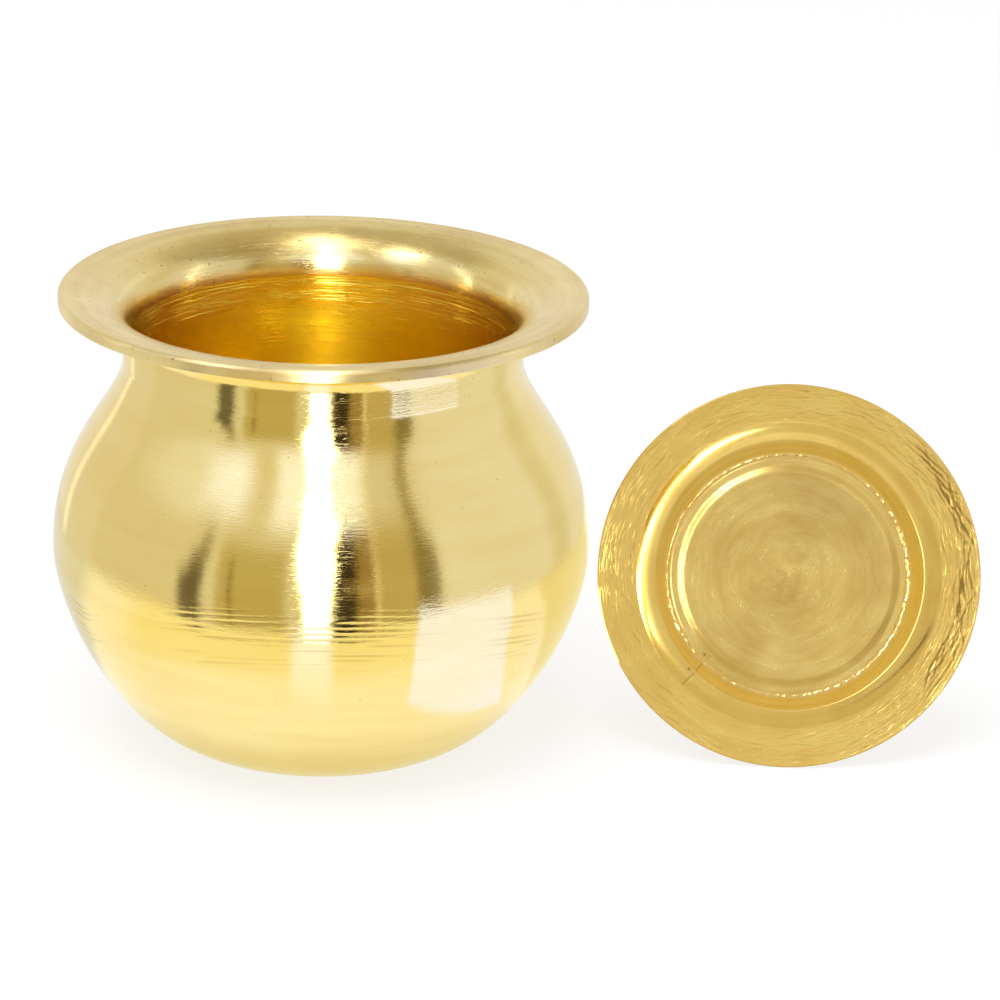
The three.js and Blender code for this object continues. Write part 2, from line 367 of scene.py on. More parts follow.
# Brass, turned and left satin: paler and softer, with close concentric marks and a few stains
satinLook = {
    "colour": "#F0DC9C", "deep": "#E2C682", "tarnishAndShade": "#7A5A28",
    "ringSpacing": 0.4, "ringStretch": 3.5, "ringDepth": 0.004,
    "bandSpacing": 3.0, "bandStretch": 1.2, "cloudSize": 14, "waveSize": 5, "waveDepth": 0.005,
    "lineSpacing": 0.8, "lineStretch": 5, "lineWidth": 0.04, "lineDepth": 0.010,
    "fraySpacing": 0.5, "frayStretch": 16, "frayDepth": 0.04,
    "speckSize": 1.1, "speckCut": 0.72, "speckStrength": 0.6,
    "roughLow": 0.16, "roughHigh": 0.23, "brushed": 0.9,
}
# The same brass on the lip's edge, dulled by handling
edgeLook = dict(satinLook, colour="#F0DDA4", deep="#E6CC90", roughLow=0.32, roughHigh=0.42)
# Brass, turned inside and never polished: amber where it mirrors itself, with coarser rings
insideLook = {
    "colour": "#FCE86C", "deep": "#F8DE5E", "tarnishAndShade": "#6E4A18",
    "ringSpacing": 0.7, "ringStretch": 2.0, "ringDepth": 0.004,
    "bandSpacing": 4.0, "bandStretch": 0.8, "cloudSize": 30, "waveSize": 16, "waveDepth": 0.003,
    "lineSpacing": 1.2, "lineStretch": 3, "lineWidth": 0.06, "lineDepth": 0.04,
    "fraySpacing": 0.45, "frayStretch": 4, "frayDepth": 0.08,
    "speckSize": 1.0, "speckCut": 0.75, "speckStrength": 0.5,
    "roughLow": 0.18, "roughHigh": 0.26, "brushed": 0.9,
}
# Lid brass, scraped by hand with a flat scraper and buffed: a soft shine under slanting marks
scrapedLook = {
    "colour": "#F4D882", "deep": "#E9C66E", "tarnishAndShade": "#7A5A1E",
    "ringSpacing": 0.35, "ringStretch": 9.0, "ringDepth": 0.026, "spiral": 0.010,
    "bandSpacing": 2.5, "bandStretch": 1.5, "cloudSize": 12, "waveSize": 4, "waveDepth": 0.004,
    "lineSpacing": 1.0, "lineStretch": 5, "lineWidth": 0.05, "lineDepth": 0.024,
    "fraySpacing": 0.40, "frayStretch": 12, "frayDepth": 0.020, "fraySpiral": -0.012,
    "speckSize": 0.8, "speckCut": 0.78, "speckStrength": 0.4,
    "roughLow": 0.20, "roughHigh": 0.28, "brushed": 0.3,
}
# Lid brass, spun to shape and buffed: the smooth roll and the wall of the dish
spunLook = dict(scrapedLook, ringDepth=0.0015, ringSpacing=0.5, spiral=0.0, waveDepth=0.004,
                waveSize=6, lineDepth=0.003, fraySpiral=0.0, frayDepth=0.006, roughLow=0.18,
                roughHigh=0.24)
# and the wall's deeper colour: a painted reflection of the dish in itself, since the lid's pieces are
# hidden from glossy rays and don't mirror each other
wallReflectionLook = dict(spunLook, colour="#F0CC62", deep="#E6BE50")
# Lid brass, brushed in arcs on the pressed pan: satin, with faint clouds
brushedLook = dict(scrapedLook, colour="#F2DA8C", deep="#D4B466", ringSpacing=0.35, ringStretch=4.0,
                   ringDepth=0.005, spiral=0.004, cloudSize=15, waveSize=14, waveDepth=0.006,
                   lineSpacing=1.4, lineStretch=4, lineDepth=0.024, fraySpiral=0.02,
                   frayDepth=0.014, roughLow=0.24, roughHigh=0.34, brushed=0.5)
# Hard solder, left as a bead or filed flush: a little redder and brighter than the brass
solderLook = dict(scrapedLook, colour="#F5D890", deep="#E8C878", ringDepth=0.002, lineDepth=0.002,
                  frayDepth=0.004, roughLow=0.16, roughHigh=0.24)

upright = {"place": (0, 0, 0), "tilt": 0}
leaning = {"place": lidPlace, "tilt": 90 - lidLean}
polishedBrass = makeBrass("polished_turned_brass", polishedLook, -1.0, upright)
polishedBowlBrass = makeBrass("polished_turned_brass_bowl", polishedLook, 1.0, upright)
satinBrass = makeBrass("satin_turned_brass", satinLook, 1.0, upright)
edgeBrass = makeBrass("satin_turned_brass_edge", edgeLook, 1.0, upright)
insideBrass = makeBrass("unpolished_turned_brass", insideLook, -1.0, upright)
scrapedBrass = makeBrass("scraped_lid_brass", scrapedLook, 1.0, leaning)
spunBrass = makeBrass("spun_lid_brass", spunLook, 1.0, leaning)
wallReflectionBrass = makeBrass("spun_lid_brass_painted_reflection", wallReflectionLook, 1.0, leaning)
brushedBrass = makeBrass("brushed_lid_brass", brushedLook, 1.0, leaning)
hardSolder = makeBrass("filed_hard_solder", solderLook, 1.0, leaning)
print("materials made")


pot = {
    "height": 115.5, "lip": 65.0, "lipThick": 2.8, "lipBevel": 0.8,
    "collarTop": 104.5, "collarLow": 98.5, "collar": 49.4, "throat": 47.4,
    "belly": 67.1, "bellyHeight": 50.0, "foot": 30.0, "wall": 1.5, "collarWall": 2.0,
    "lapLow": 49.2, "lapHigh": 50.8, "tongueTop": 53.2, "lapRoof": 53.5,   # the belly's lap, by height
    "neckLap": 100.1, "neckTongueTop": 102.76, "mouthFoot": 102.8,         # the neck's lap, by height
    "tongueShare": 0.42,                           # how far out in the wall a tongue stands
    "lapGap": 0.3,                                 # room for solder beside it
    "segments": 288, "mouthSegments": 360,
    "rippleSpacing": 1.4, "rippleHeight": 0.06, "rippleBow": 20,   # chatter over the belly seam
    "rippleBand": (43.0, 57.5), "rippleDarkening": 0.45,
    "rippleMesh": (36, 62),                        # heights that need a fine mesh for it
    "ripplePatches": ((-60, 7, 0.9), (-20, 9, 0.9), (-3, 10, 0.4), (12, 11, 0.8), (48, 6, 0.9),
                      (115, 26, 0.6), (180, 36, 0.5), (-125, 24, 0.6)),   # azimuth, width, strength
    "waveHeight": 0.06,                            # slow unevenness of hand work
    "insideRings": 0.085, "insideSpacing": 0.7,    # rings that the tool left under the throat
    "insideBand": (84, 104.3), "insideMesh": 83,   # where they are, and where their mesh starts
    "lipRings": (60.9, 62.0, 62.7, 63.3),          # radii of the grooves near the lip's edge
}

rise = pot["collarLow"] - pot["bellyHeight"]
bowlLine = bezier(
    (pot["foot"], 0), (pot["foot"] + 0.55 * (pot["belly"] - pot["foot"]), 0),
    (pot["belly"], pot["bellyHeight"] * (1 - 0.315)), (pot["belly"], pot["bellyHeight"]))
shoulderLine = bezier(
    (pot["belly"], pot["bellyHeight"]), (pot["belly"], pot["bellyHeight"] + 0.56 * rise),
    (pot["collar"], pot["collarLow"] - 0.25 * rise), (pot["collar"], pot["collarLow"]))


def flareLine(neck, edge, height):
    low = pot["collarTop"]
    return bezier((neck, low), (neck, height - 0.36 * (height - low)),
                  (neck + 0.4 * (edge - neck), height), (edge, height))


def bellyMarks(turn, arc, radius, height):
    # chatter marks over the seam, in short broken rows that bow down to each side of a patch, and the
    # rows drawn darker in their troughs
    azimuth = (turn * 360 + 180) % 360 - 180
    bow = pot["rippleBow"] * (1 - np.cos(np.radians(np.clip(np.abs(azimuth - 4), 0, 62))))
    count = (height + bow) / pot["rippleSpacing"] + 0.35 * ringNoise(12, 12, turn, height / 6.0)
    row = np.floor(count)
    where = 0.05 + sum(s * np.exp(-((azimuth - a) / w) ** 2) for a, w, s in pot["ripplePatches"])
    band = smoothBand(height + bow, *pot["rippleBand"], 5.0)
    breaks = np.clip(1.7 * ringNoise(11, 40, turn, row) + 0.35, 0, 1)
    ripples = -pot["rippleHeight"] * band * breaks * where * np.abs(np.sin(math.pi * count))
    slow = pot["waveHeight"] * (ringNoise(13, 9, turn, height / 16.0) - 1) / 2
    small = pot["waveHeight"] * 0.30 * (ringNoise(15, 30, turn, height / 7.0) - 1) / 2
    valley = np.abs(np.sin(math.pi * count)) ** 8
    dirtAndShade = np.clip(pot["rippleDarkening"] * valley * band * breaks * where, 0, 1)
    return ripples + slow + small, dirtAndShade


def insideMarks(turn, arc, radius, height):
    # broken rings that the tool left in and under the throat
    rows = height / pot["insideSpacing"] + 0.25 * ringNoise(16, 9, turn, height / 5.0)
    breaks = np.clip(1.5 * ringNoise(17, 26, turn, np.floor(rows)) + 0.45, 0, 1)
    rings = np.abs(np.sin(math.pi * rows)) * breaks * smoothBand(height, *pot["insideBand"], 3)
    return -pot["insideRings"] * rings


def fineNear(low, high, fine, coarse):
    return lambda radius, height: fine if low < height < high else coarse


wall, collar, throat = pot["wall"], pot["collar"], pot["throat"]
lapLow, halfWay, lapHigh = pot["lapLow"], pot["bellyHeight"], pot["lapHigh"]
collarLow, neckLap, neckTongueTop = pot["collarLow"], pot["neckLap"], pot["neckTongueTop"]
tongue = pot["belly"] - wall + pot["tongueShare"] * wall
innerBelly = pot["belly"] - wall
neckTongue = throat + pot["tongueShare"] * pot["collarWall"]
tongueOut, neckTongueOut = tongue + pot["lapGap"], neckTongue + pot["lapGap"]
bowlInside = offsetCurve(bowlLine, wall, wall)
bowlInside[0] = (pot["foot"], wall)
shoulderInside = offsetCurve(shoulderLine, wall, pot["collarWall"])
bowlOut = cutHeights(bowlLine, 0, lapLow)
shoulderOut = cutHeights(shoulderLine, lapHigh, collarLow)
shoulderIn = cutHeights(shoulderInside, pot["lapRoof"], collarLow)

lowerBowl = turnedMesh("lower_bowl_brass", [
    {"line": [(0, 0), (pot["foot"], 0)], "step": 3},
    {"line": bowlOut, "step": fineNear(*pot["rippleMesh"], 0.16, 0.7), "lift": bellyMarks,
     "runsOn": (False, True)},
    {"line": [(bowlOut[-1][0], lapLow), (tongue, lapLow), (tongue, pot["tongueTop"]),
              (innerBelly, pot["tongueTop"]), (innerBelly, halfWay)], "step": 0.5, "look": 1},
    {"line": bowlInside[::-1], "step": 1.6, "look": 1},
    {"line": [bowlInside[0], (0, wall)], "step": 3, "look": 1},
], pot["segments"], [polishedBowlBrass, insideBrass])

shoulder = turnedMesh("shoulder_brass", [
    {"line": shoulderOut, "step": fineNear(*pot["rippleMesh"], 0.16, 0.5), "lift": bellyMarks,
     "runsOn": (True, False)},
    {"line": [(collar, collarLow), (neckTongue, collarLow), (neckTongue, neckTongueTop),
              (throat, neckTongueTop)], "step": 0.5, "look": 1},
    {"line": [(throat, neckTongueTop), (throat, collarLow)], "step": 0.16, "look": 1,
     "lift": insideMarks, "runsOn": (True, True)},
    {"line": shoulderIn[::-1], "step": fineNear(pot["insideMesh"], pot["height"], 0.16, 1.2),
     "look": 1, "lift": insideMarks, "runsOn": (True, False)},
    {"line": [shoulderIn[0], (tongueOut, pot["lapRoof"]), (tongueOut, lapHigh),
              shoulderOut[0]], "step": 0.5, "look": 1},
], pot["segments"], [polishedBrass, insideBrass])

seamOut = [np.interp(h, np.r_[bowlLine[:, 1], shoulderLine[1:, 1]],
                     np.r_[bowlLine[:, 0], shoulderLine[1:, 0]])
           for h in (lapLow, halfWay, lapHigh)]
bellySeam = turnedMesh("belly_seam_solder", [
    {"line": [(seamOut[0], lapLow), (seamOut[1], halfWay), (seamOut[2], lapHigh)],
     "step": 0.16, "lift": bellyMarks, "runsOn": (True, True)},
    {"line": [(seamOut[2], lapHigh), (tongueOut, lapHigh), (tongueOut, lapLow),
              (seamOut[0], lapLow)], "step": 0.6},
], pot["segments"], [polishedBrass])

neckSeam = turnedMesh("neck_seam_solder", [
    {"line": [(collar, collarLow), (collar, neckLap)], "step": 0.4},
    {"line": [(collar, neckLap), (neckTongueOut, neckLap), (neckTongueOut, collarLow),
              (collar, collarLow)], "step": 0.6},
], pot["segments"], [polishedBrass])


def throatMarks(turn, arc, radius, height):
    # turning marks down the throat, and a few rings cut near the lip's edge
    marks = 0.014 * (ringNoise(21, 16, turn, height / 0.75) - 1)
    marks = marks * smoothBand(radius, 0, 54, 8)
    above = np.clip((height - pot["collarTop"]) / 5, 0, 1) ** 2
    rings = sum(-0.05 * np.exp(-((radius - at) / 0.16) ** 2) for at in pot["lipRings"])
    slow = 0.03 * (ringNoise(22, 8, turn, radius / 8.0) - 1)
    return (marks + slow) * above + rings


lipLow, lipHigh = pot["height"] - pot["lipThick"], pot["height"] - pot["lipBevel"]
lipIn = pot["lip"] - pot["lipBevel"]
underside = flareLine(collar, pot["lip"], lipLow)
upside = flareLine(throat, lipIn, pot["height"])[::-1]
mouth = turnedMesh("flared_mouth_brass", [
    {"line": [(collar, neckLap), (collar, pot["collarTop"])], "step": 0.4},
    {"line": underside, "step": 0.4},
    {"line": [(pot["lip"], lipLow), (pot["lip"], lipHigh)], "step": 0.2, "look": 3},
    {"line": [(pot["lip"], lipHigh), (64.9, 114.95), (64.45, 115.4), (lipIn, pot["height"])],
     "step": 0.12, "look": 3},   # the rounded edge
    {"line": upside, "step": 0.2, "look": 1, "lift": throatMarks},
    {"line": [(throat, pot["collarTop"]), (throat, pot["mouthFoot"])], "step": 0.16, "look": 2,
     "lift": insideMarks, "runsOn": (True, True)},
    {"line": [(throat, pot["mouthFoot"]), (neckTongueOut, pot["mouthFoot"]),
              (neckTongueOut, neckLap), (collar, neckLap)], "step": 0.6, "look": 2},
], pot["mouthSegments"], [polishedBrass, satinBrass, insideBrass, edgeBrass])
print("pot made")


lid = {
    "radius": 47.9, "sheet": 1.2, "bevel": 0.3, "brim": 9.7, "brimFall": 0.6,
    "roll": 4.5, "rollRise": 1.7, "dish": 30.9, "depth": 4.4, "ledge": 4.2,
    "under": 5.6, "backOut": 0.74,     # the back of the ledge, and how far out its wall stands
    "pan": 29.6, "flange": 1.6, "step": 2.0, "stepRise": 1.0, "gap": 0.3, "bead": 1.5,
    "beadGap": 0.03, "segments": 720, "panSegments": 540,
    "jointAt": math.radians(317), "pits": ((-20.5, -20.4), (-24.5, -23.9)),
}
lidFrame = (Matrix.Translation([c * mm for c in lidPlace])
            @ Matrix.Rotation(math.radians(90 - lidLean), 4, "X"))


def scrapeField(seed, count, radii, lengths, widths, depth, weight):
    # short curved scraper strokes on a ring, as a list of their sizes and places
    rng = np.random.default_rng(seed)
    strokes = []
    while len(strokes) < count:
        at = rng.uniform(0, 2 * math.pi)
        if rng.uniform() > weight(at):
            continue
        strokes.append((at, rng.uniform(*radii), rng.uniform(*lengths), rng.uniform(*widths),
                        rng.normal(0.05, 0.13), depth * rng.uniform(0.4, 1.0), rng.normal(0, 0.02)))
    return strokes


def cutStrokes(strokes, turn, radius):
    # each stroke leaves a shallow groove with a small burr beside it
    x, y = radius * np.sin(turn * 2 * math.pi), -radius * np.cos(turn * 2 * math.pi)
    total = np.zeros_like(radius)
    for at, far, length, width, slant, deep, bend in strokes:
        cx, cy = far * math.sin(at), -far * math.cos(at)
        near = (abs(x - cx) < length) & (abs(y - cy) < length)
        dx, dy = x[near] - cx, y[near] - cy
        ax, ay = math.cos(at + slant), math.sin(at + slant)
        u, v = dx * ax + dy * ay, -dx * ay + dy * ax
        v = v - (u * u) * (bend - 0.5 / far)
        ends = np.clip(1 - (u / (length / 2)) ** 2, 0, 1)
        groove, burr = np.exp(-(v / width) ** 2), np.exp(-((v - width * 1.7) / width) ** 2)
        total[near] -= deep * ends * (groove - 0.6 * burr)
    return total


# fine strokes nearly all round the brim, and deeper ones where the scraper bit on the right
brimStrokes = (
    scrapeField(31, 420, (39.0, 47.2), (6, 18), (0.17, 0.24), 0.022,
                lambda a: 0.35 + 0.65 * max(0, math.sin(a - 0.5)))
    + scrapeField(32, 60, (41.5, 46.0), (8, 20), (0.20, 0.32), 0.075,
                  lambda a: 1.0 if 1.0 < a < 2.3 else 0.0))


def jointMarks(turn, radius):
    # the butt joint of the rolled ring, and two pits beside it
    x, y = radius * np.sin(turn * 2 * math.pi), -radius * np.cos(turn * 2 * math.pi)
    across = x * math.sin(lid["jointAt"]) - y * math.cos(lid["jointAt"])
    side = x * math.cos(lid["jointAt"]) + y * math.sin(lid["jointAt"])
    marks = -0.07 * np.exp(-(side / 0.22) ** 2) * (across > 0)
    pits = sum(np.exp(-((x - px) ** 2 + (y - py) ** 2) / 0.32 ** 2) for px, py in lid["pits"])
    return marks - 0.16 * pits, np.clip(1.1 * pits - marks / 0.16, 0, 0.85)


def rollMarks(turn, arc, radius, height):
    lift, dirtAndShade = jointMarks(turn, radius)
    return lift + 0.02 * (ringNoise(34, 26, turn, radius / 3.0) - 1), dirtAndShade


def flangeMarks(turn, arc, radius, height):
    return jointMarks(turn, radius)


def brimMarks(turn, arc, radius, height):
    lift = cutStrokes(brimStrokes, turn, radius)
    slow = 0.02 * (ringNoise(33, 24, turn, radius / 4.0) - 1)
    return np.minimum(lift - 0.03, 0.0) + slow, np.clip((-lift - 0.008) / 0.085, 0, 0.75)


def panMarks(turn, arc, radius, height):
    # a slow unevenness, and painted shade that deepens towards the upper right, away from the lid's
    # lamp on the left, with random clouds in it
    slow = 0.012 * (ringNoise(41, 9, turn, radius / 7.0) - 1)
    side = (0.6 * np.sin(turn * 2 * math.pi) - 0.8 * np.cos(turn * 2 * math.pi)) * radius / 28
    paintedShade = 0.05 + 0.10 * side
    paintedShade = paintedShade + 0.07 * ringNoise(42, 12, turn, radius / 6.0) * np.clip(radius / 12, 0, 1)
    return slow * np.clip(radius / 6, 0, 1), np.clip(paintedShade, 0, 0.3)


rollFoot = (lid["radius"] - lid["brim"], -lid["brimFall"])
rollCrest = (rollFoot[0] - lid["roll"], rollFoot[1] + lid["rollRise"])
rollCurve = bezier(rollCrest, (rollCrest[0] + 0.5 * lid["roll"], rollCrest[1]),
                   (rollFoot[0] - 0.2 * lid["roll"], rollFoot[1] + 0.5 * lid["rollRise"]), rollFoot)
wallFoot = (lid["dish"], -lid["depth"])
ledgeIn = (lid["dish"] - lid["ledge"], -lid["depth"])
wallRun = np.array((wallFoot[0] - rollCrest[0], wallFoot[1] - rollCrest[1]))
wallTop = np.array(rollCrest) + 0.25 * wallRun / 3
crestCut = 12    # points of the roll's line that the rounded crest takes over
edge = lid["radius"]
edgeFace, edgeBack = (edge - lid["bevel"], 0), (edge - lid["bevel"], -lid["sheet"])
backRoll = offsetCurve(rollCurve, -lid["sheet"], -lid["sheet"])[20:]
lidBrim = turnedMesh("lid_brim_brass", [
    {"line": [edgeBack, (edge - 0.05, -1.0), (edge, -0.85), (edge, -0.35), (edge - 0.05, -0.2),
              edgeFace], "step": 0.15},
    {"line": [edgeFace, rollFoot], "step": 0.27, "lift": brimMarks},
    {"line": rollCurve[::-1][:-crestCut], "step": 0.22, "look": 1, "lift": rollMarks},
    {"line": bezier(rollCurve[crestCut - 1], rollCrest, rollCrest, wallTop, 40),
     "step": 0.08, "look": 1},
    # the dish's wall, in the brass with the painted reflection
    {"line": [wallTop, wallFoot], "step": 0.3, "look": 2, "lift": rollMarks},
    {"line": [wallFoot, ledgeIn], "step": 0.8},
    {"line": [ledgeIn, (ledgeIn[0], -lid["under"]), (lid["dish"] + lid["backOut"], -lid["under"]),
              (backRoll[0][0], backRoll[0][1])], "step": 0.8},
    {"line": backRoll, "step": 0.5},
    {"line": [backRoll[-1], edgeBack], "step": 0.8},
], lid["segments"], [scrapedBrass, spunBrass, wallReflectionBrass], lidFrame)

foot = lid["gap"] - lid["depth"]
stepOut = lid["pan"] - lid["flange"]


def panLine(low):
    inner = stepOut - lid["step"]
    return bezier((inner, low + lid["stepRise"]), (inner + 0.7, low + lid["stepRise"]),
                  (stepOut - 0.7, low), (stepOut, low), 60)


faceLow = foot + lid["sheet"]
backTop, faceTop = foot + lid["stepRise"], faceLow + lid["stepRise"]
flatOut, panRound = stepOut - lid["step"], 0.25
lidPan = turnedMesh("lid_pan_brass", [
    {"line": [(0, backTop), (flatOut, backTop)], "step": 1.5},
    {"line": panLine(foot), "step": 0.4},
    {"line": [(stepOut, foot), (lid["pan"], foot), (lid["pan"], faceLow - panRound),
              (lid["pan"] - 0.08, faceLow - 0.08), (lid["pan"] - panRound, faceLow)],
     "step": 0.3},
    {"line": [(lid["pan"] - panRound, faceLow), (stepOut, faceLow)], "step": 0.2, "lift": flangeMarks},
    {"line": panLine(faceLow)[::-1], "step": 0.15},
    {"line": [(flatOut, faceTop), (0, faceTop)], "step": 0.6, "lift": panMarks},
], lid["panSegments"], [brushedBrass], lidFrame)


def beadMarks(turn, arc, radius, height):
    # lumps of solder, large and small
    lumps = 0.28 * (ringNoise(51, 190, turn, arc / 3.0) - 1)
    return lumps + 0.12 * (ringNoise(52, 420, turn, arc / 3.0) - 1)


beadIn, beadOut = lid["pan"] + lid["beadGap"], lid["dish"] - lid["beadGap"]
lidBead = turnedMesh("lid_seam_solder", [
    {"line": [(beadIn, foot), (beadOut, foot)], "step": 0.4},
    {"line": [(beadOut, foot), (beadOut, foot + 1.1), (beadOut - 0.25, foot + 1.4),
              ((beadIn + beadOut) / 2, foot + lid["bead"]), (beadIn + 0.25, foot + 1.35),
              (beadIn, foot + 1.15), (beadIn, foot)], "step": 0.12, "lift": beadMarks},
], lid["panSegments"], [hardSolder], lidFrame)
print("lid made")

for piece, body, node, slot in (
        (lowerBowl, "pot", "lower_bowl", "pot_brass"),
        (bellySeam, "pot", "belly_seam", "hard_solder"),
        (shoulder, "pot", "shoulder", "pot_brass"),
        (neckSeam, "pot", "neck_seam", "hard_solder"),
        (mouth, "pot", "flared_mouth", "pot_brass"),
        (lidBrim, "lid", "lid_brim", "lid_brass"),
        (lidBead, "lid", "lid_seam", "hard_solder"),
        (lidPan, "lid", "lid_pan", "lid_brass")):
    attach(piece, body)
    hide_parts(node)
print("pieces ride on their bodies")


def seenByEye(tree):
    # 1 for what the camera sees, straight or in metal
    path = addNode(tree, "ShaderNodeLightPath").outputs
    seen = addNode(tree, "ShaderNodeMath", {"operation": "MAXIMUM"},
                   {0: path["Is Camera Ray"], 1: path["Is Glossy Ray"]}).outputs["Value"]
    return addNode(tree, "ShaderNodeMath", {"operation": "MAXIMUM"},
                   {0: seen, 1: path["Is Transmission Ray"]}).outputs["Value"]


studio = {
    "fill": 0.75,            # light from all round, on the floor
    "floorShare": 0.25,      # how much of the floor is lit by the lamps; the rest is plain white
    "tableRadius": 252,      # the part of the floor that the metal mirrors, mm
    "tableFront": 208,
    "tableEdge": 6,          # how soft the table's edge is
    "tableHeight": -0.05, "lidTableHeight": -0.04, "cardHeight": -0.045,   # one over the other
    "roomRadius": 1500, "roomLow": -40,
    "lampRadius": 1300,
}

scene.cycles.glossy_bounces = 10   # the inside mirrors itself many times
world = bpy.data.worlds.new("white studio")
scene.world = world
world.use_nodes = True
world.node_tree.nodes.clear()
worldSeen = seenByEye(world.node_tree)
worldLevel = addNode(world.node_tree, "ShaderNodeMapRange", {"To Min": studio["fill"], "To Max": 1.0},
                     {"Value": worldSeen}).outputs["Result"]
background = addNode(world.node_tree, "ShaderNodeBackground", {"Color": (1, 1, 1, 1)},
                     {"Strength": worldLevel})
addNode(world.node_tree, "ShaderNodeOutputWorld", {}, {"Surface": background.outputs["Background"]})


def floorMaterial(name, glow):
    material = bpy.data.materials.new(name)
    material.use_nodes = True
    tree = material.node_tree
    tree.nodes.clear()
    seen = seenByEye(tree)
    white = addNode(tree, "ShaderNodeBsdfDiffuse", {"Color": (0.95, 0.95, 0.95, 1)}).outputs["BSDF"]
    plain = addNode(tree, "ShaderNodeEmission",
                    {"Color": (1, 1, 1, 1), "Strength": glow}).outputs["Emission"]
    share = addNode(tree, "ShaderNodeMath", {"operation": "MULTIPLY", 1: 1 - studio["floorShare"]},
                    {0: seen}).outputs["Value"]
    both = addNode(tree, "ShaderNodeMixShader", {}, {0: share, 1: white, 2: plain}).outputs["Shader"]
    addNode(tree, "ShaderNodeOutputMaterial", {}, {"Surface": both})
    material.cycles.emission_sampling = "NONE"
    return material


def lightSheet(name, coords, tones):
    # a grid of points with a tone at each, seen only by the metal
    rows, columns = coords.shape[:2]
    faces = [(i * columns + j, i * columns + j + 1, (i + 1) * columns + j + 1, (i + 1) * columns + j)
             for i in range(rows - 1) for j in range(columns - 1)]
    mesh = bpy.data.meshes.new(name)
    mesh.from_pydata((coords.reshape(-1, 3) * mm).tolist(), [], faces)
    layer = mesh.attributes.new("tone", "FLOAT_COLOR", "POINT")
    full = np.concatenate([tones.reshape(-1, 3), np.ones((rows * columns, 1))], 1)
    layer.data.foreach_set("color", full.ravel())
    material = bpy.data.materials.new(name)
    material.use_nodes = True
    tree = material.node_tree
    tree.nodes.clear()
    colours = addNode(tree, "ShaderNodeAttribute", {"attribute_name": "tone"}).outputs["Color"]
    glow = addNode(tree, "ShaderNodeEmission", {"Strength": 1.0},
                   {"Color": colours}).outputs["Emission"]
    addNode(tree, "ShaderNodeOutputMaterial", {}, {"Surface": glow})
    material.cycles.emission_sampling = "NONE"
    mesh.materials.append(material)
    sheet = bpy.data.objects.new(name, mesh)
    scene.collection.objects.link(sheet)
    sheet.visible_camera = sheet.visible_diffuse = sheet.visible_shadow = False
    return sheet


def polar(azimuth, elevation, far):
    # points round the pot's middle; azimuth 0 looks out over the camera and grows to the right
    a, e = np.radians(azimuth), np.radians(elevation)
    return np.stack([far * np.sin(a) * np.cos(e), -far * np.cos(a) * np.cos(e),
                     far * np.sin(e) + pot["bellyHeight"]], -1)


floorMesh = bpy.data.meshes.new("floor")
floorMesh.from_pydata([(-3, -3, -0.00005), (3, -3, -0.00005), (3, 3, -0.00005), (-3, 3, -0.00005)], [],
                      [(0, 1, 2, 3)])
floorMesh.materials.append(floorMaterial("white paper floor", 1.02))
floor = bpy.data.objects.new("floor", floorMesh)
scene.collection.objects.link(floor)
floor.visible_glossy = False


